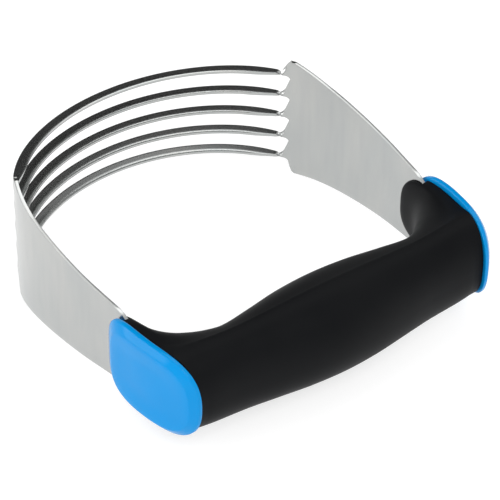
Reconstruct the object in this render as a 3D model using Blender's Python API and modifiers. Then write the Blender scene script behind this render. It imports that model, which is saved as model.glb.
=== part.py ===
"""Pastry blender: a stainless sheet stamping with five curved blades, on a soft handle.

The tool lies on its side. X runs along the handle, +Y from the handle towards the blades and
+Z through the stack of blades. Lengths in the constants are millimetres, and the scene is in
metres. The origin is at the middle of the object's footprint, on the plane that its lowest
point touches.

Both arms and all five blades are one stamped sheet. Its plan curve starts at the blades' apex
and runs down each side into the handle, and s is the distance along it from the apex. Close
to the notches each strip folds a quarter turn inwards about its lower edge, and so becomes a
blade that lies flat.
"""

import math

import bmesh
import bpy
import numpy as np
from mathutils import Matrix

MM = 0.001
GAP = 0.3                       # between pieces that touch

# Overall placing: Y of the blades' apex, and Z of the middle plane, above the lowest point.
APEX_Y = 62.16
MID_Z = 20.16

# The sheet's outer face in plan: (distance from the apex, radius of curvature).
PLAN_RADII = ((0, 65.3), (30, 61.6), (46, 47.2), (60, 33.4), (73, 73.3), (86, 202.0))
TAB_LEAN = math.radians(5.2)    # the arms close in towards the handle, straight from ...
STRAIGHT_START = 100.0
STRAIGHT_END = 112.0            # ... here on, after an easing from STRAIGHT_START
PLAN_STEP = 0.25
SHEET_END = 149.5               # end of the tab inside the handle
SHEET = 1.0                     # sheet thickness

# Blades.
BLADES = 5
PITCH = 7.8
BLADE_WIDTH = 3.3
NECK_WIDTH = 1.3                # of a strip where it leaves the arm
BOW = 0.07                      # share of its height that a blade loses at the apex
TILT = math.radians(5.0)        # of the outermost blades, outer edges towards the middle
BLADE_COLUMNS = 19

# Notches between the strips. t is the distance from the notch bottoms towards the blades.
NOTCH_S = 60.1
TIP_DROP = 0.75                 # of a notch's bottom below the strip above
ROUND_LENGTH = 1.8              # rounded upper side of a notch
EDGE_LOW = -0.15                # strip's lower edge at the end of that round, below its level
BLADE_TOP = 0.85                # blade's upper face above the strip's level
END_RISE = 0.3                  # more than that close to the necks
TAPER_LENGTH = 3.2              # over which a strip narrows to the neck's width
TAPER_POWER = 1.8
TOP_TAPER_POWER = 1.15          # of the top strip
WIDENING = 10.0                 # length over which the neck widens to the blade
FOLD_START = 1.6
FOLD_END = 4.8
NOTCH_COLUMNS = (4.8, 4.4, 4.0, 3.6, 3.2, 2.8, 2.4, 2.1, 1.76, 1.4, 1.0, 0.64, 0.3, 0.08)

# Arms.
TOP_CORNER = 6.3                # arm's upper corner above the top strip, before its rounding
CORNER_CUT = 0.5                # lost at that corner, which is rounded
CORNER_LENGTH = 1.8             # to each side of it
RISE_LENGTH = 16.0              # over which the upper edge falls from the corner to ARM_HALF
ARM_HALF = 20.6                 # half height beside the notches
TAB_HALF = 12.0                 # half height where the arms enter the handle
ARM_TAPER = 70.0                # length of the taper between the two
ARM_TAPER_POWER = 1.3
SHOULDER = 3.0                  # length of the lower corner's curve
TAB_NARROWS = 118.0             # inside the handle the tab narrows from here ...
TAB_NARROWED = 127.0            # ... to here
TAB_END_HALF = 9.0

# Ends of the handle, which lean like the arms and bulge a little. END_Y is the middle of an end,
# seen from the side.
END_Y = -102.8
RIM_X = 53.95                   # joint between grip and cap, at END_Y
RIM_LEAN = math.radians(6.9)
FACE_X = 56.95                  # outer face of the cap, at END_Y
FACE_LEAN = math.radians(8.0)
END_BOW = 0.006                 # bulge of both, per mm squared of the distance from END_Y

# Grip: (distance from the middle, back face, front face, widest line, half height there, section
# exponent behind that line). The back is towards the blades.
GRIP_STATIONS = (
    (0.0, -97.5, -124.4, -111.5, 15.5, 2.1),
    (12.0, -98.3, -123.7, -111.4, 15.2, 2.1),
    (23.0, -100.4, -122.2, -111.1, 14.5, 2.1),
    (33.0, -101.2, -120.8, -110.6, 13.9, 1.9),
    (38.0, -99.4, -120.3, -110.2, 13.8, 1.9),
    (42.0, -96.4, -120.0, -109.8, 13.8, 1.9),
    (46.0, -93.0, -119.8, -109.3, 13.7, 2.1),
    (49.3, -87.8, -119.6, -108.8, 13.5, 2.5),
    (51.2, -80.9, -119.4, -108.5, 13.4, 3.0),
    (RIM_X, -79.6, -119.3, -108.5, 13.3, 3.2),
)
GRIP_SIDES = 40
GRIP_SECTIONS = 18              # from the middle to one end
MIDDLE_POWER = 2.1              # section exponent: 2 is an ellipse, more is boxier
END_FRONT_POWER = 2.4
CREASE_SLOPE = 0.32             # of the back half, where it leaves the widest line

# Core: an oval bar through the grip.
CORE_Y = -110.6
CORE_HALF_DEPTH = 7.6
CORE_HALF_HEIGHT = 11.0

# End caps.
CAP_FRONT = 17.7                # reach of a cap from END_Y to the front, and to the back
CAP_BACK = 19.4
CAP_HALF_HEIGHT = 13.9
CAP_BACK_POWER = 3.8
CAP_EGG = 0.15                  # the caps stay high towards the front
# Rings of a cap: (share of its thickness, inset from its outline).
CAP_RINGS = ((0.0, 0.45), (0.12, 0.0), (0.4, 0.0), (0.56, 0.3), (0.95, 1.75), (1.0, 2.3))
CAP_BACK_SOFT = 0.9             # more inset at the back, as a share
CAP_SIDES = 56
CAP_FACE_RINGS = 6              # on the face and on the back of a cap
CAP_DISH = 0.35                 # depth of the face's hollow
PAD_START = 126.0               # the pad on the arm, as distances along the sheet
PAD_END = 117.5
PAD_INSET = 1.0                 # of the pad from the cap's outline

# Fasteners and pegs, square to the tab.
SCREW_Y = (-105.4, -112.9)
PEG_Y = -109.2
PEG_Z = (5.6, -5.6)
PEG_RADIUS = 1.8
PEG_LENGTH = 9.0
SHANK_RADIUS = 1.3
SHANK_LENGTH = 12.0
TIP_LENGTH = 2.0
HEAD_RADIUS = 2.7
HEAD_HEIGHT = 1.3
SLOT_LENGTH = 3.2
SLOT_WIDTH = 0.6
SLOT_DEPTH = 0.7
ROUND_SIDES = 20


def world(x, y, z):
    """Design millimetres, with the apex at Y 0 and the middle plane at Z 0, to scene metres."""
    return (x * MM, (y + APEX_Y) * MM, (z + MID_Z) * MM)


def smoothstep(value):
    value = min(max(value, 0.0), 1.0)
    return value * value * (3.0 - 2.0 * value)


# ---------------------------------------------------------------- the sheet's geometry

def plan_curve():
    """Integrate the curvature: arrays of distance, X, Y and heading of the outer face."""
    s = np.arange(0.0, SHEET_END + SHEET, PLAN_STEP)
    knots, radii = zip(*PLAN_RADII)
    bend = np.interp(s, knots, 1.0 / np.array(radii))
    heading = np.concatenate(([0.0], np.cumsum((bend[1:] + bend[:-1]) / 2 * PLAN_STEP)))
    easing = STRAIGHT_END - STRAIGHT_START
    straight = np.array([smoothstep((value - STRAIGHT_START) / easing) for value in s])
    heading += (math.pi / 2 + TAB_LEAN - heading) * straight
    dx, dy = np.cos(heading), -np.sin(heading)
    x = np.concatenate(([0.0], np.cumsum((dx[1:] + dx[:-1]) / 2 * PLAN_STEP)))
    y = np.concatenate(([0.0], np.cumsum((dy[1:] + dy[:-1]) / 2 * PLAN_STEP)))
    return s, x, y, heading


PLAN = plan_curve()


def tab_x(y):
    """Outer face of the straight tab."""
    end_x, end_y = float(PLAN[1][-1]), float(PLAN[2][-1])
    return end_x + (y - end_y) * math.tan(TAB_LEAN)


def tab_inner_x(y):
    return tab_x(y) - SHEET / math.cos(TAB_LEAN)


def rim_x(y):
    """Surface where the grip meets a cap."""
    return RIM_X + (y - END_Y) * math.tan(RIM_LEAN) - END_BOW * (y - END_Y) ** 2


def face_x(y):
    """Outer face of a cap."""
    return FACE_X + (y - END_Y) * math.tan(FACE_LEAN) - END_BOW * (y - END_Y) ** 2


def plan_point(s):
    """Point of the outer face in plan, and the outward normal there."""
    x, y, heading = (float(np.interp(s, PLAN[0], values)) for values in PLAN[1:])
    return x, y, math.sin(heading), math.cos(heading)


def strip_level(strip):
    return ((BLADES - 1) / 2 - strip) * PITCH


def lower_edge(t):
    """Strip's lower edge above the strip's level: a notch's round, then a rise to the blade."""
    if t < ROUND_LENGTH:
        across = 1.0 - max(t, 0.0) / ROUND_LENGTH
        round_drop = 1.0 - math.sqrt(max(1.0 - across * across, 0.0))
        return -EDGE_LOW - (TIP_DROP - EDGE_LOW) * round_drop
    rise = smoothstep((t - ROUND_LENGTH) / (FOLD_END - ROUND_LENGTH))
    extra = END_RISE * smoothstep(1.0 - (t - FOLD_END) / (NOTCH_S - FOLD_END))
    return -EDGE_LOW + (BLADE_TOP + EDGE_LOW + extra) * rise


def strip_width(strip, t):
    """Width along the sheet: the full pitch at the notch bottoms, the neck's, the blade's."""
    left = max(1.0 - t / TAPER_LENGTH, 0.0)
    past_neck = min(max((t - TAPER_LENGTH) / WIDENING, 0.0), 1.0)
    narrow = NECK_WIDTH + (BLADE_WIDTH - NECK_WIDTH) * math.sin(math.pi / 2 * past_neck)
    if strip == 0:
        top = narrow + (TOP_CORNER + TIP_DROP - NECK_WIDTH) * left ** TOP_TAPER_POWER
        return top - CORNER_CUT * smoothstep(1.0 - t / CORNER_LENGTH)
    return narrow + (PITCH - NECK_WIDTH) * left ** TAPER_POWER


def strip_point(strip, s, across):
    """Point of a strip: across is 0 on its lower edge, which becomes the blade's outer edge."""
    x, y, nx, ny = plan_point(s)
    t = NOTCH_S - s
    level = strip_level(strip)
    along = min(s / (NOTCH_S - FOLD_END), 1.0)
    bow = BOW * level * (1.0 - along ** 2)
    tilt = TILT * level / strip_level(0) * (1.0 - along ** 4)
    fold = math.pi / 2 * smoothstep((t - FOLD_START) / (FOLD_END - FOLD_START)) - tilt
    width = strip_width(strip, t) * across
    inwards = width * math.sin(fold)
    z = level + lower_edge(t) - bow + width * math.cos(fold)
    return world(x - nx * inwards, y - ny * inwards, z)


def arm_half(s):
    """Half height of an arm, tapering from the notches to the handle and again inside it."""
    left = max(1.0 - (s - NOTCH_S) / ARM_TAPER, 0.0)
    half = TAB_HALF + (ARM_HALF - TAB_HALF) * left ** ARM_TAPER_POWER
    end = smoothstep((s - TAB_NARROWS) / (TAB_NARROWED - TAB_NARROWS))
    return half - (TAB_HALF - TAB_END_HALF) * end


def arm_point(s, share):
    """Point of an arm: share is 0 on its lower edge and 1 on its upper edge."""
    x, y, _nx, _ny = plan_point(s)
    past = s - NOTCH_S
    shoulder = 1.0 - max(1.0 - past / SHOULDER, 0.0) ** 3
    notch_low = strip_level(BLADES - 1) - TIP_DROP
    low = notch_low + (-arm_half(s) - notch_low) * shoulder
    rise = strip_level(0) + TOP_CORNER - ARM_HALF
    high = arm_half(s) + rise * max(1.0 - past / RISE_LENGTH, 0.0) ** 1.5
    high -= CORNER_CUT * smoothstep(1.0 - past / CORNER_LENGTH)
    return world(x, y, low + (high - low) * share)


def sheet_mesh():
    """Half of the stamping's outer face, open at X 0: five strips that run into one arm."""
    mesh = bmesh.new()
    blade_end = NOTCH_S - FOLD_END
    columns = [blade_end * i / BLADE_COLUMNS for i in range(BLADE_COLUMNS)]
    columns += [NOTCH_S - t for t in NOTCH_COLUMNS]
    shares = (0.0, 0.5, 1.0)
    low = strip_level(BLADES - 1) - TIP_DROP
    high = strip_level(0) + TOP_CORNER - CORNER_CUT

    rows = []
    for strip in reversed(range(BLADES)):
        bottom = strip_level(strip) - TIP_DROP
        top = high if strip == 0 else bottom + PITCH
        for share in shares[:-1]:
            rows.append((bottom + (top - bottom) * share - low) / (high - low))
    rows.append(1.0)

    arm_columns = [NOTCH_S + step for step in (0.0, 0.35, 0.8, 1.4, 2.1, 3.0, 4.6, 6.6)]
    arm_columns += list(np.linspace(NOTCH_S + 9.0, SHEET_END, 25))
    arm = [[mesh.verts.new(arm_point(s, share)) for share in rows] for s in arm_columns]
    for left, right in zip(arm, arm[1:]):
        for row in range(len(rows) - 1):
            mesh.faces.new((left[row], left[row + 1], right[row + 1], right[row]))

    for order, strip in enumerate(reversed(range(BLADES))):
        grid = [[mesh.verts.new(strip_point(strip, s, share)) for share in shares]
                for s in columns]
        first = order * (len(shares) - 1)
        grid.append(arm[0][first:first + len(shares)])
        for left, right in zip(grid, grid[1:]):
            for row in range(len(shares) - 1):
                mesh.faces.new((left[row], left[row + 1], right[row + 1], right[row]))
    return mesh


# ---------------------------------------------------------------- helpers for solids

def add_object(name, mesh, material, collection, smooth=40.0):
    """Turn a bmesh into a named object of the collection."""
    data = bpy.data.meshes.new(name)
    mesh.to_mesh(data)
    mesh.free()
    data.materials.append(material)
    data.shade_smooth()
    data.set_sharp_from_angle(angle=math.radians(smooth))
    item = bpy.data.objects.new(name, data)
    collection.objects.link(item)
    return item


def end_place(side, y, z):
    """Matrix from the middle of the tab's outer face at y and z, X outwards, to the scene."""
    turn = -TAB_LEAN if side > 0 else math.pi + TAB_LEAN
    return Matrix.Translation(world(side * tab_x(y), y, z)) @ Matrix.Rotation(turn, 4, "Z")


def cylinder_mesh(radius, low, high, place, sides=ROUND_SIDES):
    """Closed cylinder along the place's X, from low to high."""
    mesh = bmesh.new()
    bmesh.ops.create_cone(mesh, cap_ends=True, segments=sides, radius1=radius * MM, radius2=radius * MM,
                          depth=(high - low) * MM)
    along_x = Matrix.Rotation(math.pi / 2, 4, "Y")
    middle = Matrix.Translation(((low + high) / 2 * MM, 0.0, 0.0))
    bmesh.ops.transform(mesh, matrix=place @ middle @ along_x, verts=mesh.verts)
    return mesh


def add_cutter(name, mesh, collection):
    data = bpy.data.meshes.new(name)
    mesh.to_mesh(data)
    mesh.free()
    item = bpy.data.objects.new(name, data)
    item.hide_render = True
    item.display_type = "WIRE"
    collection.objects.link(item)
    return item


def boolean(item, other, operation):
    modifier = item.modifiers.new(f"{operation.lower()} {other.name}", "BOOLEAN")
    modifier.operation = operation
    modifier.object = other
    return modifier


def oval(y, z_half, halves, powers, sides, egg=0.0, slope=0.0):
    """Points of a boxy oval in the YZ plane, widest at y. Halves and powers are (front, back), the
    back towards +Y, egg raises the front, and slope makes a crease along the widest line."""
    points = []
    for index in range(sides):
        angle = 2.0 * math.pi * index / sides
        c, s = math.cos(angle), math.sin(angle)
        end = 1 if c > 0 else 0
        across = math.copysign(abs(c) ** (2.0 / powers[end]), c)
        up = math.copysign(abs(s) ** (2.0 / powers[end]), s)
        raised = 1.0 + egg * min(across, 0.0) ** 2
        behind = max(across, 0.0)
        fall = slope * halves[1] * behind * (1.0 - behind) ** 3
        points.append((y + halves[end] * across, z_half * up * raised - math.copysign(fall, s)))
    return points


def loft(mesh, rings):
    """Join rings of points (x, y, z), all of one count, and return their vertices."""
    placed = [[mesh.verts.new(world(*point)) for point in ring] for ring in rings]
    for first, second in zip(placed, placed[1:]):
        bridge(mesh, first, second)
    return placed


def bridge(mesh, outer, inner):
    """Ring of faces between two loops of the same count."""
    count = len(outer)
    for i in range(count):
        j = (i + 1) % count
        mesh.faces.new((outer[i], outer[j], inner[j], inner[i]))


def face_out(mesh):
    bmesh.ops.recalc_face_normals(mesh, faces=mesh.faces)
    return mesh


# ---------------------------------------------------------------- handle

def grip_value(distance, column):
    """Smooth curve through one column of the grip's stations (Catmull-Rom)."""
    xs = [station[0] for station in GRIP_STATIONS]
    ys = [station[column] for station in GRIP_STATIONS]
    i = max(index for index in range(len(xs) - 1) if xs[index] <= distance or index == 0)
    before = ys[1] if i == 0 else ys[i - 1]
    before_x = -xs[1] if i == 0 else xs[i - 1]
    after = ys[i + 2] if i + 2 < len(xs) else 2 * ys[i + 1] - ys[i]
    after_x = xs[i + 2] if i + 2 < len(xs) else 2 * xs[i + 1] - xs[i]
    span = xs[i + 1] - xs[i]
    u = (distance - xs[i]) / span
    slope_in = (ys[i + 1] - before) / (xs[i + 1] - before_x) * span
    slope_out = (after - ys[i]) / (after_x - xs[i]) * span
    return ((2 * u ** 3 - 3 * u ** 2 + 1) * ys[i] + (u ** 3 - 2 * u ** 2 + u) * slope_in
            + (3 * u ** 2 - 2 * u ** 3) * ys[i + 1] + (u ** 3 - u ** 2) * slope_out)


def grip_ring(distance):
    """Outline of the grip at that signed distance from the middle, leaning towards the ends."""
    distance_in = min(abs(distance), RIM_X)
    back, front, middle, half, back_power = (grip_value(distance_in, column) for column in range(1, 6))
    end = smoothstep(abs(distance) / RIM_X)
    front_power = MIDDLE_POWER + (END_FRONT_POWER - MIDDLE_POWER) * end
    halves = (middle - front, back - middle)
    ring = oval(middle, half, halves, (front_power, back_power), GRIP_SIDES, slope=CREASE_SLOPE)
    return [(distance / RIM_X * (rim_x(y) - GAP), y, z) for y, z in ring]


def core_ring(share, gap):
    """Outline of the core's bar, or with a gap of the hole for it, leaning like the grip."""
    halves = (CORE_HALF_DEPTH + gap, CORE_HALF_DEPTH + gap)
    ring = oval(CORE_Y, CORE_HALF_HEIGHT + gap, halves, (MIDDLE_POWER, MIDDLE_POWER), GRIP_SIDES)
    if gap:
        return [(share * (rim_x(y) - GAP), y, z) for y, z in ring]
    return [(share * (tab_inner_x(y) - GAP), y, z) for y, z in ring]


def arm_slot_mesh(side):
    """Space for the arm's tab in the end of the grip, open outwards and towards the blades."""
    mesh = bmesh.new()
    rings = []
    for s in np.linspace(SHEET_END + GAP, STRAIGHT_END, 14):
        y = plan_point(s)[1]
        half = arm_half(s) + GAP
        low, high = tab_inner_x(y) - GAP, rim_x(y) + SHEET
        corners = ((low, -half), (high, -half), (high, half), (low, half))
        rings.append([(side * x, y, z) for x, z in corners])
    placed = loft(mesh, rings)
    mesh.faces.new(placed[0])
    mesh.faces.new(placed[-1])
    return face_out(mesh)


def make_grip(material, collection, cutters):
    """Soft sleeve over the core, with a slot at each end where the arm goes in."""
    mesh = bmesh.new()
    shares = [math.sin(math.pi / 2 * i / GRIP_SECTIONS) ** 0.9 for i in range(GRIP_SECTIONS + 1)]
    shares = [-share for share in reversed(shares[1:])] + shares
    outer = loft(mesh, [grip_ring(share * RIM_X) for share in shares])
    inner = loft(mesh, [core_ring(share, GAP) for share in shares])
    bridge(mesh, outer[0], inner[0])
    bridge(mesh, outer[-1], inner[-1])
    grip = add_object("soft_grip", face_out(mesh), material, collection)
    for side in (-1, 1):
        label = "left" if side < 0 else "right"
        boolean(grip, add_cutter(f"arm_slot_{label}", arm_slot_mesh(side), cutters), "DIFFERENCE")
    return grip


def make_core(material, collection, cutters):
    """Rigid core with a socket for each peg and a pilot hole for each screw at both ends."""
    mesh = bmesh.new()
    rings = loft(mesh, [core_ring(share, 0.0) for share in (-1.0, -0.5, 0.0, 0.5, 1.0)])
    mesh.faces.new(rings[0])
    mesh.faces.new(rings[-1])
    core = add_object("handle_core", face_out(mesh), material, collection)
    for side in (-1, 1):
        label = "left" if side < 0 else "right"
        holes = [(y, 0.0, SHANK_RADIUS + GAP, SHANK_LENGTH + 1.0) for y in SCREW_Y]
        holes += [(PEG_Y, z, PEG_RADIUS + GAP, PEG_LENGTH + 1.0) for z in PEG_Z]
        for number, (y, z, radius, depth) in enumerate(holes):
            mesh = cylinder_mesh(radius, -depth, SHEET, end_place(side, y, z))
            boolean(core, add_cutter(f"core_hole_{label}_{number}", mesh, cutters), "DIFFERENCE")
    return core


def make_frame(material, collection, cutters):
    """The stamping: mirrored at X 0, thickened inwards and punched for the fasteners."""
    frame = add_object("blade_frame", sheet_mesh(), material, collection)
    mirror = frame.modifiers.new("both arms", "MIRROR")
    mirror.merge_threshold = 0.00005
    solidify = frame.modifiers.new("sheet thickness", "SOLIDIFY")
    solidify.thickness = SHEET * MM
    solidify.offset = -1.0
    solidify.use_even_offset = True
    for side in (-1, 1):
        label = "left" if side < 0 else "right"
        holes = [(y, 0.0, SHANK_RADIUS + GAP) for y in SCREW_Y]
        holes += [(PEG_Y, z, PEG_RADIUS + GAP) for z in PEG_Z]
        for number, (y, z, radius) in enumerate(holes):
            mesh = cylinder_mesh(radius, -3 * SHEET, 2 * SHEET, end_place(side, y, z))
            boolean(frame, add_cutter(f"tab_hole_{label}_{number}", mesh, cutters), "DIFFERENCE")
    return frame


def pad_mesh(side):
    """Block between the cap's plate and the arm, where the arm comes out."""
    mesh = bmesh.new()
    rings = []
    for s in np.linspace(PAD_START, PAD_END, 7):
        y = plan_point(s)[1]
        along = (y - END_Y) / CAP_BACK
        outline = CAP_HALF_HEIGHT * (1.0 - along ** CAP_BACK_POWER) ** (1.0 / CAP_BACK_POWER)
        half = min(arm_half(s), outline - PAD_INSET)
        low, high = tab_x(y) + GAP, rim_x(y) + SHEET
        corners = ((low, -half), (high, -half), (high, half), (low, half))
        rings.append([(side * x, y, z) for x, z in corners])
    placed = loft(mesh, rings)
    mesh.faces.new(placed[0])
    mesh.faces.new(placed[-1])
    return face_out(mesh)


def cap_ring(side, share, inset, scale=1.0, dish=0.0):
    """Ring of a cap, shrunk to a scale. The inset grows towards the back, where the rim is rounder."""
    halves = (CAP_FRONT, CAP_BACK)
    outline = oval(END_Y, CAP_HALF_HEIGHT, halves, (END_FRONT_POWER, CAP_BACK_POWER), CAP_SIDES, CAP_EGG)
    ring = []
    for y, z in outline:
        reach = CAP_BACK if y > END_Y else CAP_FRONT
        back = max((y - END_Y) / CAP_BACK, 0.0)
        inside = inset * (1.0 + CAP_BACK_SOFT * back ** 2)
        y_in = END_Y + (y - END_Y) * (1.0 - inside / reach) * scale
        z_in = z * (1.0 - inside / CAP_HALF_HEIGHT) * scale
        x = rim_x(y_in) + (face_x(y_in) - rim_x(y_in)) * share - dish
        ring.append((side * x, y_in, z_in))
    return ring


def cap_surface(side, share, inset, dish):
    """Rings that go from a cap's rim to its middle, with a hollow of that depth."""
    shares = [step / CAP_FACE_RINGS for step in range(1, CAP_FACE_RINGS)]
    return [cap_ring(side, share, inset, 1.0 - way, dish * smoothstep(2.0 * way)) for way in shares]


def make_cap(side, material, collection, cutters):
    """End cap: a bulging plate with a sloping rim, a pad on the arm, head pockets and two pegs."""
    label = "left" if side < 0 else "right"
    mesh = bmesh.new()
    (low_share, low_inset), (high_share, high_inset) = CAP_RINGS[0], CAP_RINGS[-1]
    rings = list(reversed(cap_surface(side, low_share, low_inset, 0.0)))
    rings += [cap_ring(side, share, inset) for share, inset in CAP_RINGS]
    rings += cap_surface(side, high_share, high_inset, CAP_DISH)
    placed = loft(mesh, rings)
    mesh.faces.new(placed[0])
    mesh.faces.new(placed[-1])
    cap = add_object(f"end_cap_{label}", face_out(mesh), material, collection)

    boolean(cap, add_cutter(f"cap_pad_{label}", pad_mesh(side), cutters), "UNION")

    for number, y in enumerate(SCREW_Y):
        mesh = cylinder_mesh(HEAD_RADIUS + GAP, -SHEET, HEAD_HEIGHT + 2 * GAP, end_place(side, y, 0.0))
        boolean(cap, add_cutter(f"cap_pocket_{label}_{number}", mesh, cutters), "DIFFERENCE")
    for number, z in enumerate(PEG_Z):
        mesh = cylinder_mesh(PEG_RADIUS, -PEG_LENGTH, 2 * SHEET, end_place(side, PEG_Y, z))
        boolean(cap, add_cutter(f"cap_peg_{label}_{number}", mesh, cutters), "UNION")
    return cap


def make_screw(side, number, material, collection, cutters):
    """Self-tapping screw: a turned profile with a cross slot in its head."""
    label = "left" if side < 0 else "right"
    name = f"arm_screw_{label}_{('rear', 'front')[number]}"
    top = GAP + HEAD_HEIGHT
    profile = (
        (0.0, top),
        (HEAD_RADIUS * 0.7, top),
        (HEAD_RADIUS, GAP + HEAD_HEIGHT * 0.45),
        (HEAD_RADIUS, GAP),
        (SHANK_RADIUS, GAP),
        (SHANK_RADIUS, TIP_LENGTH - SHANK_LENGTH),
        (0.0, -SHANK_LENGTH),
    )
    mesh = bmesh.new()
    points = [mesh.verts.new((radius * MM, 0.0, height * MM)) for radius, height in profile]
    for first, second in zip(points, points[1:]):
        mesh.edges.new((first, second))
    screw = add_object(name, mesh, material, collection)
    place = end_place(side, SCREW_Y[number], 0.0)
    screw.matrix_world = place @ Matrix.Rotation(math.pi / 2, 4, "Y")
    turned = screw.modifiers.new("turned", "SCREW")
    turned.steps = turned.render_steps = ROUND_SIDES
    turned.use_merge_vertices = True
    turned.merge_threshold = 0.00001
    for turn in (0.0, math.pi / 2):
        mesh = bmesh.new()
        bmesh.ops.create_cube(mesh, size=1.0)
        size = (2 * SLOT_DEPTH * MM, SLOT_LENGTH * MM, SLOT_WIDTH * MM)
        bmesh.ops.scale(mesh, vec=size, verts=mesh.verts)
        centre = Matrix.Translation((top * MM, 0.0, 0.0)) @ Matrix.Rotation(turn, 4, "X")
        bmesh.ops.transform(mesh, matrix=place @ centre, verts=mesh.verts)
        way = "across" if turn else "along"
        boolean(screw, add_cutter(f"slot_{label}_{number}_{way}", mesh, cutters), "DIFFERENCE")
    return screw


# ---------------------------------------------------------------- scene

def make_material(name, colour, roughness, metallic):
    material = bpy.data.materials.new(name)
    material.use_nodes = True
    shader = material.node_tree.nodes["Principled BSDF"]
    shader.inputs["Base Color"].default_value = (*colour, 1.0)
    shader.inputs["Roughness"].default_value = roughness
    shader.inputs["Metallic"].default_value = metallic
    return material


def main():
    for item in list(bpy.data.objects):
        bpy.data.objects.remove(item, do_unlink=True)
    parts = bpy.data.collections.new("pastry_blender")
    cutters = bpy.data.collections.new("cutters")
    for collection in (parts, cutters):
        bpy.context.scene.collection.children.link(collection)

    steel = make_material("stainless_steel", (0.62, 0.63, 0.62), 0.32, 1.0)
    rubber = make_material("black_rubber", (0.018, 0.018, 0.019), 0.55, 0.0)
    core_plastic = make_material("core_plastic", (0.05, 0.05, 0.05), 0.5, 0.0)
    blue = make_material("blue_plastic", (0.02, 0.35, 0.80), 0.22, 0.0)
    zinc = make_material("zinc_screw", (0.55, 0.55, 0.55), 0.4, 1.0)

    make_frame(steel, parts, cutters)
    make_core(core_plastic, parts, cutters)
    make_grip(rubber, parts, cutters)
    for side in (-1, 1):
        make_cap(side, blue, parts, cutters)
        for number in range(len(SCREW_Y)):
            make_screw(side, number, zinc, parts, cutters)


main()
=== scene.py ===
"""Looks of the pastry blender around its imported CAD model.

Lengths are the design's millimetres: the blades' apex at Y 0, the middle plane at Z 0, the handle
towards -Y. The stamping, the grip and the caps get finer meshes in the CAD's place. The core and
the screws keep the CAD's meshes and get a material.

Both arms and all five blades are one stamped sheet. s is the distance along it from the blades'
apex. Close to the notches each strip folds a quarter turn inwards about its lower edge, and so
becomes a blade that lies flat.
"""

import math

import bmesh
import bpy
import numpy as np
from mathutils import Matrix, Vector

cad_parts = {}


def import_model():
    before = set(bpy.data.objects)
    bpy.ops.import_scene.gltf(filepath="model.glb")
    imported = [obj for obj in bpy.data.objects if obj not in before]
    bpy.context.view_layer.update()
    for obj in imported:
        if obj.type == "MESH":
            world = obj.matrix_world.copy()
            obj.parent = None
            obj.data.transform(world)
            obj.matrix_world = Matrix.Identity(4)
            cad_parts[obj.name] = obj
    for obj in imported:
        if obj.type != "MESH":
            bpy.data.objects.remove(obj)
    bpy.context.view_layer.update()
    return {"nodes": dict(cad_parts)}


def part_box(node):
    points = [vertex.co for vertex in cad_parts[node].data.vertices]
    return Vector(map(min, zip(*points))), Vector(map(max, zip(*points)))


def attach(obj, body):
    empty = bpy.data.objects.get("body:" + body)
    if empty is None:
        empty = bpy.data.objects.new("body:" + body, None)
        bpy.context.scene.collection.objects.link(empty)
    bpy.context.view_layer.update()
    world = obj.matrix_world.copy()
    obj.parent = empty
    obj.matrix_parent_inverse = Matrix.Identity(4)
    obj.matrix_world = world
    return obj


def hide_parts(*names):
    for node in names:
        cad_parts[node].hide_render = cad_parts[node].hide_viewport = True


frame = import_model()

MM = 0.001
GAP = 0.3                       # between pieces that touch
END_Y = -102.8                  # middle of the handle's ends, seen from the side
CAP_FRONT = 17.7                # reach of a cap from there to the front

# The design's origin in the scene, from a CAD end cap: its front and its middle height are known.
CAP_LOW, CAP_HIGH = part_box("end_cap_left")
APEX_Y = CAP_LOW.y / MM - END_Y + CAP_FRONT
MID_Z = (CAP_LOW.z + CAP_HIGH.z) / 2 / MM

# The sheet's outer face in plan: (distance from the apex, radius of curvature).
PLAN_RADII = ((0, 65.3), (30, 61.6), (46, 47.2), (60, 33.4), (73, 73.3), (86, 202.0))
TAB_LEAN = math.radians(5.2)    # the arms close in towards the handle, straight from ...
STRAIGHT_START = 100.0
STRAIGHT_END = 112.0            # ... here on, after an easing from STRAIGHT_START
PLAN_STEP = 0.25
SHEET_END = 149.5               # end of the tab inside the handle
SHEET = 1.0                     # sheet thickness
EDGE_ROUND = 0.44               # radius of the sheet's edges
EDGE_STEPS = 3                  # faces across that round
EDGE_ANGLE = math.radians(50.0)  # edges that turn by more than this are rounded
MERGE = 0.05                    # distance at which the mirrored halves join

# Blades.
BLADES = 5
PITCH = 7.8
BLADE_WIDTH = 3.3
NECK_WIDTH = 1.3                # of a strip where it leaves the arm
BOW = 0.07                      # share of its height that a blade loses at the apex
TILT = math.radians(5.0)        # of the outermost blades, outer edges towards the middle
BLADE_COLUMNS = 44              # mesh columns from the apex to where the notches' own ones start
STRIP_ROWS = 7                  # mesh rows across a strip
CURL_START = 0.72               # share of a blade's width where its inner side starts to curl down
CURL_DROP = 0.16                # and how far that side comes down

# Notches between the strips. t is the distance from the notch bottoms towards the blades.
NOTCH_S = 60.1
TIP_DROP = 0.75                 # of a notch's bottom below the strip above
ROUND_LENGTH = 1.8              # rounded upper side of a notch
EDGE_LOW = -0.15                # strip's lower edge at the end of that round, below its level
BLADE_TOP = 0.85                # blade's upper face above the strip's level
END_RISE = 0.3                  # more than that close to the necks
TAPER_LENGTH = 3.2              # over which a strip narrows to the neck's width
TAPER_POWER = 1.8
TOP_TAPER_POWER = 1.15          # of the top strip
WIDENING = 10.0                 # length over which the neck widens to the blade
FOLD_START = 1.6                # the quarter turn starts here ...
FOLD_END = 4.8                  # ... and ends here
NOTCH_COLUMNS = 34
NOTCH_CROWDING = 1.4            # how the columns crowd towards the notches

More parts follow.
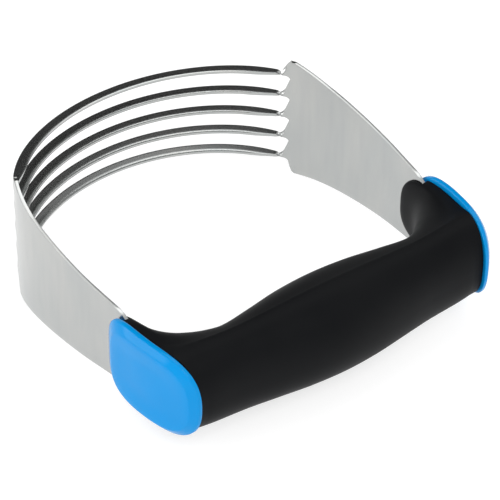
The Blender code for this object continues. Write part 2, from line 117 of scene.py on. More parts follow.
# Arms.
TOP_CORNER = 6.27               # arm's upper corner above the top strip, before its rounding
CORNER_CUT = 0.5                # lost at that corner, which is rounded
CORNER_LENGTH = 1.8             # to each side of it
RISE_LENGTH = 16.0              # over which the upper edge falls from the corner to ARM_HALF
RISE_POWER = 1.5
ARM_HALF = 20.57                # half height beside the notches
TAB_HALF = 12.0                 # half height where the arms enter the handle
ARM_TAPER = 70.0                # length of the taper between the two
ARM_TAPER_POWER = 1.3
SHOULDER = 3.0                  # length of the lower corner's curve
TAB_NARROWS = 118.0             # inside the handle the tab narrows from here ...
TAB_NARROWED = 127.0            # ... to here
TAB_END_HALF = 9.0
SHOULDER_COLUMNS = 12
SHOULDER_CROWDING = 1.3
ARM_COLUMNS = 60

# Ends of the handle, which lean like the arms and bulge a little.
RIM_X = 53.95                   # joint between grip and cap, at END_Y
RIM_LEAN = math.radians(6.9)
FACE_X = 56.93                  # outer face of the cap, at END_Y
FACE_LEAN = math.radians(8.0)
END_BOW = 0.006                 # bulge of both, per mm squared of the distance from END_Y

# Grip: (distance from the middle, back face, front face, widest line, half height there, section
# exponent behind that line). The back is towards the blades.
GRIP_STATIONS = (
    (0.0, -97.5, -124.4, -111.5, 15.5, 2.1),
    (12.0, -98.3, -123.7, -111.4, 15.2, 2.1),
    (23.0, -100.4, -122.2, -111.1, 14.5, 2.1),
    (33.0, -101.2, -120.8, -110.6, 13.9, 1.9),
    (38.0, -99.4, -120.3, -110.2, 13.8, 1.9),
    (42.0, -96.4, -120.0, -109.8, 13.8, 1.9),
    (46.0, -93.0, -119.8, -109.3, 13.7, 2.1),
    (49.3, -87.8, -119.6, -108.8, 13.5, 2.5),
    (51.2, -80.9, -119.4, -108.5, 13.4, 3.0),
    (RIM_X, -79.6, -119.3, -108.5, 13.3, 3.2),
)
GRIP_SIDES = 160
GRIP_SECTIONS = 70              # from the middle to one end
MIDDLE_POWER = 2.1              # section exponent: 2 is an ellipse, more is boxier
END_FRONT_POWER = 2.4
CREASE_SLOPE = 0.32             # of the back half, where it leaves the widest line

SLOT_RINGS = 24                 # of the space for an arm's tab

# Core: an oval bar through the grip. Its hole is GAP larger.
CORE_Y = -110.6
CORE_HALF_DEPTH = 7.6
CORE_HALF_HEIGHT = 11.0

# End caps.
CAP_BACK = 19.4                 # reach of a cap from END_Y to the back
CAP_HALF_HEIGHT = 13.9
CAP_BACK_POWER = 3.8
CAP_EGG = 0.15                  # the caps stay high towards the front
# Rings of a cap: (share of its thickness, inset from its outline).
CAP_RINGS = ((0.0, 0.45), (0.05, 0.12), (0.12, 0.0), (0.4, 0.0), (0.48, 0.08), (0.56, 0.3),
             (0.95, 1.75), (0.965, 1.83), (0.98, 1.94), (0.992, 2.08), (1.0, 2.3))
CAP_BACK_SOFT = 0.9             # more inset at the back, as a share
CAP_SIDES = 144
CAP_FACE_RINGS = 12             # on a cap's outer face and on its side towards the grip
CAP_DISH = 0.35                 # depth of the face's hollow
PAD_START = 126.0               # the pad on the arm, as distances along the sheet
PAD_END = 117.5
PAD_INSET = 1.4                 # of the pad from the cap's outline
PAD_RINGS = 12

# Holes in the tabs, for the screws and the caps' pegs.
SCREW_Y = (-105.4, -112.9)
PEG_Y = -109.2
PEG_Z = (5.6, -5.6)
PEG_RADIUS = 1.8
SHANK_RADIUS = 1.3
ROUND_SIDES = 32

SMOOTH_ANGLE = math.radians(40.0)   # sharper edges of the finer meshes stay sharp
NOISE_LOW = 0.3                 # the part of a noise's range that most of it lies in
NOISE_HIGH = 0.7


def world(x, y, z):
    """Design millimetres to scene metres."""
    return (x * MM, (y + APEX_Y) * MM, (z + MID_Z) * MM)


def smoothstep(value):
    value = min(max(value, 0.0), 1.0)
    return value * value * (3.0 - 2.0 * value)


# ---------------------------------------------------------------- the sheet's geometry

def plan_curve():
    """Integrate the curvature: arrays of distance, X, Y and heading of the outer face."""
    s = np.arange(0.0, SHEET_END + SHEET, PLAN_STEP)
    knots, radii = zip(*PLAN_RADII)
    bend = np.interp(s, knots, 1.0 / np.array(radii))
    heading = np.concatenate(([0.0], np.cumsum((bend[1:] + bend[:-1]) / 2 * PLAN_STEP)))
    easing = STRAIGHT_END - STRAIGHT_START
    straight = np.array([smoothstep((value - STRAIGHT_START) / easing) for value in s])
    heading += (math.pi / 2 + TAB_LEAN - heading) * straight
    dx, dy = np.cos(heading), -np.sin(heading)
    x = np.concatenate(([0.0], np.cumsum((dx[1:] + dx[:-1]) / 2 * PLAN_STEP)))
    y = np.concatenate(([0.0], np.cumsum((dy[1:] + dy[:-1]) / 2 * PLAN_STEP)))
    return s, x, y, heading


PLAN = plan_curve()


def tab_x(y):
    """Outer face of the straight tab."""
    end_x, end_y = float(PLAN[1][-1]), float(PLAN[2][-1])
    return end_x + (y - end_y) * math.tan(TAB_LEAN)


def tab_inner_x(y):
    return tab_x(y) - SHEET / math.cos(TAB_LEAN)


def rim_x(y):
    """Surface where the grip meets a cap."""
    return RIM_X + (y - END_Y) * math.tan(RIM_LEAN) - END_BOW * (y - END_Y) ** 2


def face_x(y):
    """Outer face of a cap."""
    return FACE_X + (y - END_Y) * math.tan(FACE_LEAN) - END_BOW * (y - END_Y) ** 2


def plan_point(s):
    """Point of the outer face in plan, and the outward normal there."""
    x, y, heading = (float(np.interp(s, PLAN[0], values)) for values in PLAN[1:])
    return x, y, math.sin(heading), math.cos(heading)


def strip_level(strip):
    return ((BLADES - 1) / 2 - strip) * PITCH


def lower_edge(t):
    """Strip's lower edge above the strip's level: a notch's round, then a rise to the blade."""
    if t < ROUND_LENGTH:
        across = 1.0 - max(t, 0.0) / ROUND_LENGTH
        round_drop = 1.0 - math.sqrt(max(1.0 - across * across, 0.0))
        return -EDGE_LOW - (TIP_DROP - EDGE_LOW) * round_drop
    rise = smoothstep((t - ROUND_LENGTH) / (FOLD_END - ROUND_LENGTH))
    extra = END_RISE * smoothstep(1.0 - (t - FOLD_END) / (NOTCH_S - FOLD_END))
    return -EDGE_LOW + (BLADE_TOP + EDGE_LOW + extra) * rise


def strip_width(strip, t):
    """Width along the sheet: the full pitch at the notch bottoms, the neck's, the blade's."""
    left = max(1.0 - t / TAPER_LENGTH, 0.0)
    past_neck = min(max((t - TAPER_LENGTH) / WIDENING, 0.0), 1.0)
    narrow = NECK_WIDTH + (BLADE_WIDTH - NECK_WIDTH) * math.sin(math.pi / 2 * past_neck)
    if strip == 0:
        top = narrow + (TOP_CORNER + TIP_DROP - NECK_WIDTH) * left ** TOP_TAPER_POWER
        return top - CORNER_CUT * smoothstep(1.0 - t / CORNER_LENGTH)
    return narrow + (PITCH - NECK_WIDTH) * left ** TAPER_POWER


def strip_point(strip, s, across):
    """Point of a strip: across is 0 on its lower edge, which becomes the blade's outer edge."""
    x, y, nx, ny = plan_point(s)
    t = NOTCH_S - s
    level = strip_level(strip)
    along = min(s / (NOTCH_S - FOLD_END), 1.0)
    bow = BOW * level * (1.0 - along ** 2)
    tilt = TILT * level / strip_level(0) * (1.0 - along ** 4)
    fold = math.pi / 2 * smoothstep((t - FOLD_START) / (FOLD_END - FOLD_START)) - tilt
    width = strip_width(strip, t) * across
    inwards = width * math.sin(fold)
    curl = (max(across - CURL_START, 0.0) / (1.0 - CURL_START)) ** 2
    curl *= smoothstep((t - FOLD_END) / WIDENING)
    z = level + lower_edge(t) - bow + width * math.cos(fold) - CURL_DROP * curl
    return world(x - nx * inwards, y - ny * inwards, z)


def arm_half(s):
    """Half height of an arm, tapering from the notches to the handle and again inside it."""
    left = max(1.0 - (s - NOTCH_S) / ARM_TAPER, 0.0)
    half = TAB_HALF + (ARM_HALF - TAB_HALF) * left ** ARM_TAPER_POWER
    end = smoothstep((s - TAB_NARROWS) / (TAB_NARROWED - TAB_NARROWS))
    return half - (TAB_HALF - TAB_END_HALF) * end


def arm_point(s, share):
    """Point of an arm: share is 0 on its lower edge and 1 on its upper edge."""
    x, y, _nx, _ny = plan_point(s)
    past = s - NOTCH_S
    shoulder = 1.0 - max(1.0 - past / SHOULDER, 0.0) ** 3
    notch_low = strip_level(BLADES - 1) - TIP_DROP
    low = notch_low + (-arm_half(s) - notch_low) * shoulder
    rise = strip_level(0) + TOP_CORNER - ARM_HALF
    high = arm_half(s) + rise * max(1.0 - past / RISE_LENGTH, 0.0) ** RISE_POWER
    high -= CORNER_CUT * smoothstep(1.0 - past / CORNER_LENGTH)
    return world(x, y, low + (high - low) * share)


def sheet_mesh():
    """Half of the stamping's outer face, open at X 0: five strips that run into one arm. Its UVs
    are millimetres along and across the sheet."""
    mesh = bmesh.new()
    uvs = {}
    fine = TAPER_LENGTH + WIDENING
    columns = [(NOTCH_S - fine) * i / BLADE_COLUMNS for i in range(BLADE_COLUMNS)]
    columns += [NOTCH_S - fine * (1.0 - i / NOTCH_COLUMNS) ** NOTCH_CROWDING
                for i in range(NOTCH_COLUMNS)]
    shares = [row / STRIP_ROWS for row in range(STRIP_ROWS + 1)]
    low = strip_level(BLADES - 1) - TIP_DROP
    high = strip_level(0) + TOP_CORNER - CORNER_CUT

    rows = []
    for strip in reversed(range(BLADES)):
        bottom = strip_level(strip) - TIP_DROP
        top = high if strip == 0 else bottom + PITCH
        for share in shares[:-1]:
            rows.append((bottom + (top - bottom) * share - low) / (high - low))
    rows.append(1.0)

    arm_columns = [NOTCH_S + SHOULDER * (i / SHOULDER_COLUMNS) ** SHOULDER_CROWDING
                   for i in range(SHOULDER_COLUMNS)]
    arm_columns += list(np.linspace(NOTCH_S + SHOULDER, SHEET_END, ARM_COLUMNS))

    def vertex(point, s, across):
        vert = mesh.verts.new(point)
        uvs[vert] = (s, across)
        return vert

    arm = [[vertex(arm_point(s, share), s, low + (high - low) * share) for share in rows]
           for s in arm_columns]
    grids = [arm]
    for order, strip in enumerate(reversed(range(BLADES))):
        bottom = strip_level(strip) - TIP_DROP
        grid = [[vertex(strip_point(strip, s, share), s, bottom + PITCH * share)
                 for share in shares] for s in columns]
        first = order * STRIP_ROWS
        grid.append(arm[0][first:first + len(shares)])
        grids.append(grid)
    for grid in grids:
        for left, right in zip(grid, grid[1:]):
            for row in range(len(left) - 1):
                mesh.faces.new((left[row], left[row + 1], right[row + 1], right[row]))

    layer = mesh.loops.layers.uv.new("sheet")
    for face in mesh.faces:
        for loop in face.loops:
            loop[layer].uv = uvs[loop.vert]
    return mesh


# ---------------------------------------------------------------- helpers for solids

def add_piece(name, mesh, material, nodes):
    """Turn a bmesh into a piece that stands for CAD nodes."""
    data = bpy.data.meshes.new(name)
    mesh.to_mesh(data)
    mesh.free()
    data.materials.append(material)
    data.shade_smooth()
    data.set_sharp_from_angle(angle=SMOOTH_ANGLE)
    piece = bpy.data.objects.new(name, data)
    bpy.context.scene.collection.objects.link(piece)
    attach(piece, "root")
    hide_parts(*nodes)
    return piece


def cut(piece, meshes, operation="DIFFERENCE"):
    """Cut shapes out of a piece, or join them to it, and apply it."""
    cutters = []
    for number, mesh in enumerate(meshes):
        data = bpy.data.meshes.new(f"{piece.name}_cutter_{number}")
        mesh.to_mesh(data)
        mesh.free()
        cutter = bpy.data.objects.new(data.name, data)
        bpy.context.scene.collection.objects.link(cutter)
        modifier = piece.modifiers.new(cutter.name, "BOOLEAN")
        modifier.operation = operation
        modifier.object = cutter
        cutters.append(cutter)
    apply_modifiers(piece)
    for cutter in cutters:
        data = cutter.data
        bpy.data.objects.remove(cutter)
        bpy.data.meshes.remove(data)


def apply_modifiers(piece):
    """Keep the evaluated mesh as the piece's own."""
    bpy.context.view_layer.update()
    evaluated = piece.evaluated_get(bpy.context.evaluated_depsgraph_get())
    data = bpy.data.meshes.new_from_object(evaluated)
    piece.modifiers.clear()
    old = piece.data
    piece.data = data
    bpy.data.meshes.remove(old)


def end_place(side, y, z):
    """Matrix from the middle of the tab's outer face at y and z, X outwards, to the scene."""
    turn = -TAB_LEAN if side > 0 else math.pi + TAB_LEAN
    return Matrix.Translation(world(side * tab_x(y), y, z)) @ Matrix.Rotation(turn, 4, "Z")


def cylinder_mesh(radius, low, high, place):
    """Closed cylinder along the place's X, from low to high."""
    mesh = bmesh.new()
    bmesh.ops.create_cone(mesh, cap_ends=True, segments=ROUND_SIDES, radius1=radius * MM,
                          radius2=radius * MM, depth=(high - low) * MM)
    along_x = Matrix.Rotation(math.pi / 2, 4, "Y")
    middle = Matrix.Translation(((low + high) / 2 * MM, 0.0, 0.0))
    bmesh.ops.transform(mesh, matrix=place @ middle @ along_x, verts=mesh.verts)
    return mesh


def oval(y, z_half, halves, powers, sides, egg=0.0, slope=0.0):
    """Points of a boxy oval in the YZ plane, widest at y. Halves and powers are (front, back), the
    back towards +Y, egg raises the front, and slope makes a crease along the widest line."""
    points = []
    for index in range(sides):
        angle = 2.0 * math.pi * index / sides
        c, s = math.cos(angle), math.sin(angle)
        end = 1 if c > 0 else 0
        across = math.copysign(abs(c) ** (2.0 / powers[end]), c)
        up = math.copysign(abs(s) ** (2.0 / powers[end]), s)
        raised = 1.0 + egg * min(across, 0.0) ** 2
        behind = max(across, 0.0)
        fall = slope * halves[1] * behind * (1.0 - behind) ** 3
        points.append((y + halves[end] * across, z_half * up * raised - math.copysign(fall, s)))
    return points


def bridge(mesh, outer, inner):
    """Ring of faces between two loops of the same count."""
    count = len(outer)
    for i in range(count):
        j = (i + 1) % count
        mesh.faces.new((outer[i], outer[j], inner[j], inner[i]))


def loft(mesh, rings):
    """Join rings of points (x, y, z), all of one count, and return their vertices."""
    placed = [[mesh.verts.new(world(*point)) for point in ring] for ring in rings]
    for first, second in zip(placed, placed[1:]):
        bridge(mesh, first, second)
    return placed


def face_out(mesh):
    bmesh.ops.recalc_face_normals(mesh, faces=mesh.faces)
    return mesh


# ---------------------------------------------------------------- materials

class Look:
    """A Principled material and short calls to add nodes to it."""

    def __init__(self, name):
        self.material = bpy.data.materials.new(name)
        self.material.use_nodes = True
        self.tree = self.material.node_tree
        self.shader = self.tree.nodes["Principled BSDF"]

    def set(self, **values):
        """Values straight on the shader's sockets, with underscores for spaces."""
        for name, value in values.items():
            self.shader.inputs[name.replace("_", " ")].default_value = value

    def node(self, kind, inputs=(), **settings):
        node = self.tree.nodes.new(kind)
        for name, value in settings.items():
            setattr(node, name, value)
        for socket, value in dict(inputs).items():
            if isinstance(value, bpy.types.NodeSocket):
                self.tree.links.new(value, node.inputs[socket])
            else:
                node.inputs[socket].default_value = value
        return node

    def link(self, output, socket):
        self.tree.links.new(output, self.shader.inputs[socket])

    def coordinates(self, kind, scale):
        """Texture coordinates, in metres for Object, stretched by a scale."""
        source = self.node("ShaderNodeTexCoord").outputs[kind]
        mapping = self.node("ShaderNodeMapping", {"Vector": source, "Scale": scale})
        return mapping.outputs["Vector"]

    def noise(self, vector, scale, detail, roughness):
        inputs = {"Vector": vector, "Scale": scale, "Detail": detail, "Roughness": roughness}
        return self.node("ShaderNodeTexNoise", inputs).outputs["Fac"]

    def spread(self, factor, low, high):
        """Map the middle of a noise's range onto low to high."""
        inputs = {"Value": factor, "From Min": NOISE_LOW, "From Max": NOISE_HIGH,
                  "To Min": low, "To Max": high}
        return self.node("ShaderNodeMapRange", inputs).outputs["Result"]

    def mix(self, factor, first, second):
        """Blend of two colours or colour outputs."""
        node = self.node("ShaderNodeMix", data_type="RGBA")
        ends = ((0, factor), (6, first), (7, second))
        for index, value in ends:
            if isinstance(value, bpy.types.NodeSocket):
                self.tree.links.new(value, node.inputs[index])
            else:
                node.inputs[index].default_value = value if index == 0 else (*value, 1.0)
        return node.outputs[2]

    def bump(self, height, distance, strength, before=None):
        inputs = {"Height": height, "Distance": distance, "Strength": strength}
        if before is not None:
            inputs["Normal"] = before
        return self.node("ShaderNodeBump", inputs).outputs["Normal"]


def steel_look():
    """Satin stainless sheet: fine grain along the sheet and faint cloudy patches."""
    look = Look("satin_stainless")
    grain = look.noise(look.coordinates("UV", (0.12, 9.0, 1.0)), 1.0, 4.0, 0.6)
    clouds = look.noise(look.coordinates("Object", (1.0, 1.0, 0.35)), 70.0, 2.0, 0.5)
    streaks = look.noise(look.coordinates("UV", (0.35, 0.05, 1.0)), 1.0, 2.0, 0.5)
    pale = look.mix(look.spread(clouds, 0.0, 1.0), (0.43, 0.445, 0.443), (0.485, 0.487, 0.474))
    look.link(look.mix(look.spread(streaks, 0.0, 0.35), pale, (0.40, 0.415, 0.415)), "Base Color")
    look.link(look.spread(grain, 0.19, 0.25), "Roughness")
    fine = look.bump(grain, 0.00001, 0.1)
    look.link(look.bump(clouds, 0.00004, 0.4, fine), "Normal")
    look.set(Metallic=1.0)
    return look.material


def rubber_look():
    """Matte black thermoplastic rubber with a fine grain."""
    look = Look("matte_black_rubber")
    place = look.coordinates("Object", (1.0, 1.0, 1.0))
    grain = look.noise(place, 2600.0, 2.0, 0.5)
    patches = look.noise(place, 45.0, 2.0, 0.5)
    dark, light = (0.0042, 0.0046, 0.0054), (0.0062, 0.0066, 0.0074)
    look.link(look.mix(look.spread(patches, 0.0, 1.0), dark, light), "Base Color")
    look.link(look.spread(patches, 0.42, 0.52), "Roughness")
    look.link(look.bump(grain, 0.00002, 0.35), "Normal")
    look.set(Specular_IOR_Level=0.06)
    return look.material


def blue_look():
    """Glossy moulded blue plastic with faint flow marks."""
    look = Look("glossy_blue_plastic")
    place = look.coordinates("Object", (1.0, 1.0, 1.0))
    flow = look.noise(place, 38.0, 2.0, 0.5)
    speck = look.noise(place, 900.0, 2.0, 0.5)
    deep, pale = (0.0, 0.24, 0.59), (0.0, 0.26, 0.64)
    look.link(look.mix(look.spread(flow, 0.0, 1.0), deep, pale), "Base Color")
    look.link(look.spread(speck, 0.07, 0.12), "Roughness")
    wave = look.bump(flow, 0.0004, 0.25)
    look.link(look.bump(speck, 0.00001, 0.3, wave), "Normal")
    look.set(Specular_IOR_Level=0.16)
    return look.material


def core_look():
    """Hard dark plastic of the core, with a moulded texture."""
    look = Look("dark_core_plastic")
    place = look.coordinates("Object", (1.0, 1.0, 1.0))
    texture = look.noise(place, 1200.0, 3.0, 0.6)
    dark, light = (0.035, 0.036, 0.038), (0.055, 0.056, 0.058)
    look.link(look.mix(look.spread(texture, 0.0, 1.0), dark, light), "Base Color")
    look.link(look.spread(texture, 0.42, 0.58), "Roughness")
    look.link(look.bump(texture, 0.00003, 0.5), "Normal")
    return look.material


def zinc_look():
    """Zinc plating, slightly yellow in patches."""
    look = Look("zinc_plate")
    place = look.coordinates("Object", (1.0, 1.0, 1.0))
    patches = look.noise(place, 420.0, 3.0, 0.6)
    grey, yellow = (0.52, 0.53, 0.54), (0.62, 0.60, 0.55)
    look.link(look.mix(look.spread(patches, 0.0, 1.0), grey, yellow), "Base Color")
    look.link(look.spread(patches, 0.3, 0.45), "Roughness")
    look.link(look.bump(patches, 0.00002, 0.4), "Normal")
    look.set(Metallic=1.0)
    return look.material


# ---------------------------------------------------------------- pieces

def make_stamping(material):
    """The blades and arms: mirrored at X 0, thickened inwards, punched, edges rounded."""
    mesh = sheet_mesh()
    piece = add_piece("blade_stamping", mesh, material, ["blade_frame"])
    mirror = piece.modifiers.new("both arms", "MIRROR")
    mirror.merge_threshold = MERGE * MM
    solidify = piece.modifiers.new("sheet thickness", "SOLIDIFY")
    solidify.thickness = SHEET * MM
    solidify.offset = -1.0
    solidify.use_even_offset = True
    bevel = piece.modifiers.new("edge round", "BEVEL")
    bevel.width = EDGE_ROUND * MM
    bevel.segments = EDGE_STEPS
    bevel.limit_method = "ANGLE"
    bevel.angle_limit = EDGE_ANGLE
    apply_modifiers(piece)
    holes = []
    for side in (-1, 1):
        places = [(y, 0.0, SHANK_RADIUS + GAP) for y in SCREW_Y]
        places += [(PEG_Y, z, PEG_RADIUS + GAP) for z in PEG_Z]
        holes += [cylinder_mesh(radius, -3 * SHEET, 2 * SHEET, end_place(side, y, z))
                  for y, z, radius in places]
    cut(piece, holes)


def grip_value(distance, column):
    """Smooth curve through one column of the grip's stations (Catmull-Rom)."""
    xs = [station[0] for station in GRIP_STATIONS]
    ys = [station[column] for station in GRIP_STATIONS]
    i = max(index for index in range(len(xs) - 1) if xs[index] <= distance or index == 0)
    before = ys[1] if i == 0 else ys[i - 1]
    before_x = -xs[1] if i == 0 else xs[i - 1]
    after = ys[i + 2] if i + 2 < len(xs) else 2 * ys[i + 1] - ys[i]
    after_x = xs[i + 2] if i + 2 < len(xs) else 2 * xs[i + 1] - xs[i]
    span = xs[i + 1] - xs[i]
    u = (distance - xs[i]) / span
    slope_in = (ys[i + 1] - before) / (xs[i + 1] - before_x) * span
    slope_out = (after - ys[i]) / (after_x - xs[i]) * span
    return ((2 * u ** 3 - 3 * u ** 2 + 1) * ys[i] + (u ** 3 - 2 * u ** 2 + u) * slope_in
            + (3 * u ** 2 - 2 * u ** 3) * ys[i + 1] + (u ** 3 - u ** 2) * slope_out)


def grip_ring(distance):
    """Outline of the grip at that signed distance from the middle, leaning towards the ends."""
    distance_in = min(abs(distance), RIM_X)
    values = [grip_value(distance_in, column) for column in range(1, len(GRIP_STATIONS[0]))]
    back, front, middle, half, back_power = values
    end = smoothstep(abs(distance) / RIM_X)
    front_power = MIDDLE_POWER + (END_FRONT_POWER - MIDDLE_POWER) * end
    halves = (middle - front, back - middle)
    ring = oval(middle, half, halves, (front_power, back_power), GRIP_SIDES, slope=CREASE_SLOPE)
    return [(distance / RIM_X * (rim_x(y) - GAP), y, z) for y, z in ring]


def core_ring(share):
    """Outline of the hole for the core, leaning like the grip."""
    halves = (CORE_HALF_DEPTH + GAP, CORE_HALF_DEPTH + GAP)
    ring = oval(CORE_Y, CORE_HALF_HEIGHT + GAP, halves, (MIDDLE_POWER, MIDDLE_POWER), GRIP_SIDES)
    return [(share * (rim_x(y) - GAP), y, z) for y, z in ring]


def arm_slot_mesh(side):
    """Space for the arm's tab in the end of the grip, open outwards and towards the blades."""
    mesh = bmesh.new()
    rings = []
    for s in np.linspace(SHEET_END + GAP, STRAIGHT_END, SLOT_RINGS):
        y = plan_point(s)[1]
        half = arm_half(s) + GAP
        low, high = tab_inner_x(y) - GAP, rim_x(y) + SHEET
        corners = ((low, -half), (high, -half), (high, half), (low, half))
        rings.append([(side * x, y, z) for x, z in corners])
    placed = loft(mesh, rings)
    mesh.faces.new(placed[0])
    mesh.faces.new(placed[-1])
    return face_out(mesh)


def make_grip(material):
    """Soft sleeve over the core, with a slot at each end where the arm goes in."""
    mesh = bmesh.new()
    shares = [math.sin(math.pi / 2 * i / GRIP_SECTIONS) for i in range(GRIP_SECTIONS + 1)]
    shares = [-share for share in reversed(shares[1:])] + shares
    outer = loft(mesh, [grip_ring(share * RIM_X) for share in shares])
    inner = loft(mesh, [core_ring(share) for share in shares])
    bridge(mesh, outer[0], inner[0])
    bridge(mesh, outer[-1], inner[-1])
    piece = add_piece("grip_sleeve", face_out(mesh), material, ["soft_grip"])
    cut(piece, [arm_slot_mesh(side) for side in (-1, 1)])


def pad_mesh(side):
    """Block between the cap's plate and the arm, where the arm comes out."""
    mesh = bmesh.new()
    rings = []
    for s in np.linspace(PAD_START, PAD_END, PAD_RINGS):
        y = plan_point(s)[1]
        along = (y - END_Y) / CAP_BACK
        outline = CAP_HALF_HEIGHT * (1.0 - along ** CAP_BACK_POWER) ** (1.0 / CAP_BACK_POWER)
        half = min(arm_half(s), outline - PAD_INSET)
        low, high = tab_x(y) + GAP, rim_x(y) + SHEET
        corners = ((low, -half), (high, -half), (high, half), (low, half))
        rings.append([(side * x, y, z) for x, z in corners])
    placed = loft(mesh, rings)
    mesh.faces.new(placed[0])
    mesh.faces.new(placed[-1])
    return face_out(mesh)


def cap_ring(side, share, inset, scale=1.0, dish=0.0):
    """Ring of a cap, shrunk to a scale. Towards the back the inset grows: the rim is rounder."""
    halves = (CAP_FRONT, CAP_BACK)
    powers = (END_FRONT_POWER, CAP_BACK_POWER)
    outline = oval(END_Y, CAP_HALF_HEIGHT, halves, powers, CAP_SIDES, CAP_EGG)
    ring = []
    for y, z in outline:
        reach = CAP_BACK if y > END_Y else CAP_FRONT
        back = max((y - END_Y) / CAP_BACK, 0.0)
        inside = inset * (1.0 + CAP_BACK_SOFT * back ** 2)
        y_in = END_Y + (y - END_Y) * (1.0 - inside / reach) * scale
        z_in = z * (1.0 - inside / CAP_HALF_HEIGHT) * scale
        x = rim_x(y_in) + (face_x(y_in) - rim_x(y_in)) * share - dish
        ring.append((side * x, y_in, z_in))
    return ring


def cap_surface(side, share, inset, dish):
    """Rings that go from a cap's rim to its middle, with a hollow of that depth."""
    shares = [step / CAP_FACE_RINGS for step in range(1, CAP_FACE_RINGS)]
    return [cap_ring(side, share, inset, 1.0 - way, dish * smoothstep(2.0 * way)) for way in shares]


def make_cap(side, material):
    """End cap: a bulging plate with a sloping rim, a soft crease and a slightly hollow face."""
    label = "left" if side < 0 else "right"
    mesh = bmesh.new()
    (low_share, low_inset), (high_share, high_inset) = CAP_RINGS[0], CAP_RINGS[-1]
    rings = list(reversed(cap_surface(side, low_share, low_inset, 0.0)))
    rings += [cap_ring(side, share, inset) for share, inset in CAP_RINGS]
    rings += cap_surface(side, high_share, high_inset, CAP_DISH)
    placed = loft(mesh, rings)
    mesh.faces.new(placed[0])
    mesh.faces.new(placed[-1])
    name, node = f"glossy_cap_{label}", f"end_cap_{label}"
    piece = add_piece(name, face_out(mesh), material, [node])
    cut(piece, [pad_mesh(side)], "UNION")


# ---------------------------------------------------------------- stage, light and camera

CAMERA_TURN = math.radians(-36.9)
CAMERA_HEIGHT = math.radians(39.0)
CAMERA_ROLL = math.radians(0.75)
CAMERA_DISTANCE = 833.3         # along the view, from the blades' apex
APEX_RIGHT = -44.57             # apex's place from the view axis
APEX_UP = 36.04
LENS = 195.6
SENSOR = 36.0

WORLD_LIGHT = 0.75
DARK_LIGHT = 0.03               # of the surroundings in their dark patches
# Patches of the surroundings: (direction, outer angle, inner angle) and, if bright, how much more
# light. The first dark one is mirrored by the blades' upper faces, the second by the caps' upper
# edges. The first bright one is mirrored by the caps' faces, the second by the arms' upper edges
# and the blades' curled sides.
DARK_PATCHES = (((0.46, 0.70, 0.55), 23.0, 15.0), ((-0.31, 0.62, 0.73), 34.0, 16.0))
BRIGHT_PATCHES = (((-0.78, 0.48, 0.32), 27.0, 17.0, 2.6), ((0.40, 0.25, 0.88), 19.0, 12.0, 1.6))
FLOOR_GLOW = 0.67
FLOOR_HALF = 2.0                # in metres, like the light's values
LIGHT_PLACE = (-0.5, -0.9, 1.1)
LIGHT_SIZE = 0.8
LIGHT_POWER = 8.0


def make_camera():
    th, e, roll = CAMERA_TURN, CAMERA_HEIGHT, CAMERA_ROLL
    ahead = Vector((-math.sin(th) * math.cos(e), math.cos(th) * math.cos(e), -math.sin(e)))
    level_right = Vector((math.cos(th), math.sin(th), 0.0))
    level_up = level_right.cross(ahead)
    right = level_right * math.cos(roll) + level_up * math.sin(roll)
    up = level_up * math.cos(roll) - level_right * math.sin(roll)
    apex = Vector(world(0.0, 0.0, 0.0))
    place = apex - (level_right * APEX_RIGHT + level_up * APEX_UP + ahead * CAMERA_DISTANCE) * MM
    turn = Matrix((right, up, -ahead)).transposed().to_4x4()
    camera = bpy.data.objects.new("camera", bpy.data.cameras.new("camera"))
    camera.matrix_world = Matrix.Translation(place) @ turn
    camera.data.lens = LENS
    camera.data.sensor_width = SENSOR
    camera.data.clip_start = 0.01
    bpy.context.scene.collection.objects.link(camera)
    bpy.context.scene.camera = camera


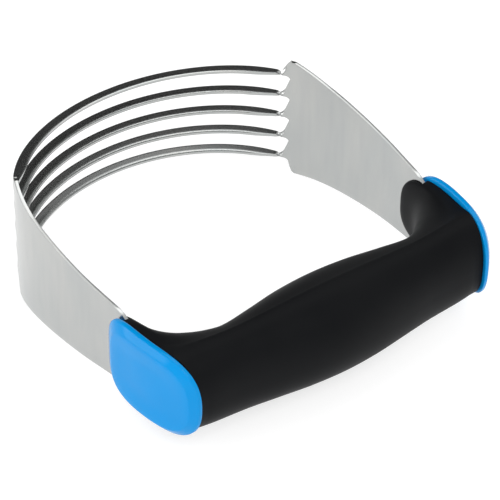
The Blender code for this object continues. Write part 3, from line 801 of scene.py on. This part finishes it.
def make_world():
    """White surroundings with dark and bright patches behind the object."""
    surroundings = bpy.data.worlds.new("studio")
    bpy.context.scene.world = surroundings
    surroundings.use_nodes = True
    nodes, links = surroundings.node_tree.nodes, surroundings.node_tree.links
    background = nodes["Background"]
    background.inputs["Color"].default_value = (1.0, 1.0, 1.0, 1.0)
    direction = nodes.new("ShaderNodeTexCoord").outputs["Generated"]

    def patch(aim, outer, inner, value):
        """Factor that goes from 0 outside the outer angle to the value inside the inner one."""
        towards = nodes.new("ShaderNodeVectorMath")
        towards.operation = "DOT_PRODUCT"
        links.new(direction, towards.inputs[0])
        towards.inputs[1].default_value = Vector(aim).normalized()
        spread = nodes.new("ShaderNodeMapRange")
        spread.interpolation_type = "SMOOTHSTEP"
        links.new(towards.outputs["Value"], spread.inputs["Value"])
        spread.inputs["From Min"].default_value = math.cos(math.radians(outer))
        spread.inputs["From Max"].default_value = math.cos(math.radians(inner))
        spread.inputs["To Max"].default_value = value
        return spread.outputs["Result"]

    def combine(operation, first, second):
        node = nodes.new("ShaderNodeMath")
        node.operation = operation
        for socket, value in zip(node.inputs, (first, second)):
            if isinstance(value, bpy.types.NodeSocket):
                links.new(value, socket)
            else:
                socket.default_value = value
        return node.outputs[0]

    shades = [patch(*dark, WORLD_LIGHT - DARK_LIGHT) for dark in DARK_PATCHES]
    panels = [patch(*bright) for bright in BRIGHT_PATCHES]
    dimmed = combine("SUBTRACT", WORLD_LIGHT, combine("MAXIMUM", *shades))
    strength = combine("ADD", dimmed, combine("ADD", *panels))
    links.new(strength, background.inputs["Strength"])


def make_floor():
    mesh = bmesh.new()
    bmesh.ops.create_grid(mesh, x_segments=1, y_segments=1, size=FLOOR_HALF)
    data = bpy.data.meshes.new("floor")
    mesh.to_mesh(data)
    mesh.free()
    look = Look("pale_floor")
    tone = look.noise(look.coordinates("Object", (1.0, 1.0, 1.0)), 3.0, 2.0, 0.5)
    dark, light = (0.46, 0.46, 0.46), (0.48, 0.48, 0.48)
    look.link(look.mix(look.spread(tone, 0.0, 1.0), dark, light), "Base Color")
    look.set(Roughness=0.9, Specular_IOR_Level=0.1, Emission_Color=(1.0, 1.0, 1.0, 1.0))
    look.set(Emission_Strength=FLOOR_GLOW)
    data.materials.append(look.material)
    floor = bpy.data.objects.new("floor", data)
    bpy.context.scene.collection.objects.link(floor)


def make_light():
    """One large soft light in front of the object, high up, aimed at the scene's origin."""
    light = bpy.data.lights.new("overhead", "AREA")
    light.shape = "DISK"
    light.size = LIGHT_SIZE
    light.energy = LIGHT_POWER
    item = bpy.data.objects.new("overhead", light)
    turn = (-Vector(LIGHT_PLACE)).to_track_quat("-Z", "Y").to_matrix().to_4x4()
    item.matrix_world = Matrix.Translation(LIGHT_PLACE) @ turn
    bpy.context.scene.collection.objects.link(item)


def main():
    steel, rubber, blue = steel_look(), rubber_look(), blue_look()
    make_stamping(steel)
    make_grip(rubber)
    for side in (-1, 1):
        make_cap(side, blue)
    frame["nodes"]["handle_core"].data.materials.clear()
    frame["nodes"]["handle_core"].data.materials.append(core_look())
    zinc = zinc_look()
    for name, node in frame["nodes"].items():
        if name.startswith("arm_screw"):
            node.data.materials.clear()
            node.data.materials.append(zinc)
    make_floor()
    make_world()
    make_light()
    make_camera()
    bpy.context.scene.view_settings.view_transform = "Standard"


main()
